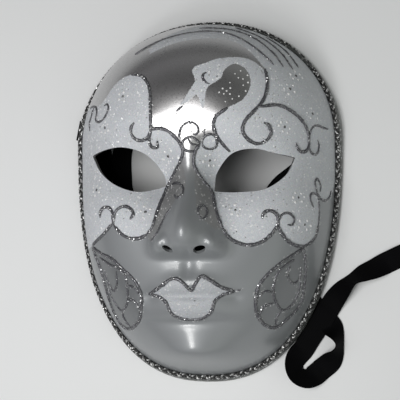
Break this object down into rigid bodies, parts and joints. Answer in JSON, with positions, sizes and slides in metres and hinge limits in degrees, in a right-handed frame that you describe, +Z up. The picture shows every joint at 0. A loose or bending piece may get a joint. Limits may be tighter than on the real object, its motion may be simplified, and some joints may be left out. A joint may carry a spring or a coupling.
{
  "type": "venetian mask",
  "caption": "Full-face Venetian carnival mask lying face up: a thin hollow silver shell with eye openings, glitter scrollwork, a braided rim and black tie ribbons.",
  "frame": {"origin": "on the surface the mask lies on, under the centre of its outline without the ribbons", "axes": "+Z up, out of the face; +Y towards the forehead; +X towards the right of someone looking down on the face"},
  "size_m": [0.2502, 0.228, 0.0855],
  "materials": {
    "silver_shell": "semi-gloss silver paint, partly under glitter",
    "metallic_braid": "plaited silver and black metallic thread",
    "black_ribbon": "black satin"
  },
  "bodies": {
    "root": {"mask_shell": "silver_shell", "rim_braid": "metallic_braid", "ribbon_right": "black_ribbon", "ribbon_left": "black_ribbon"}
  },
  "joints": []
}
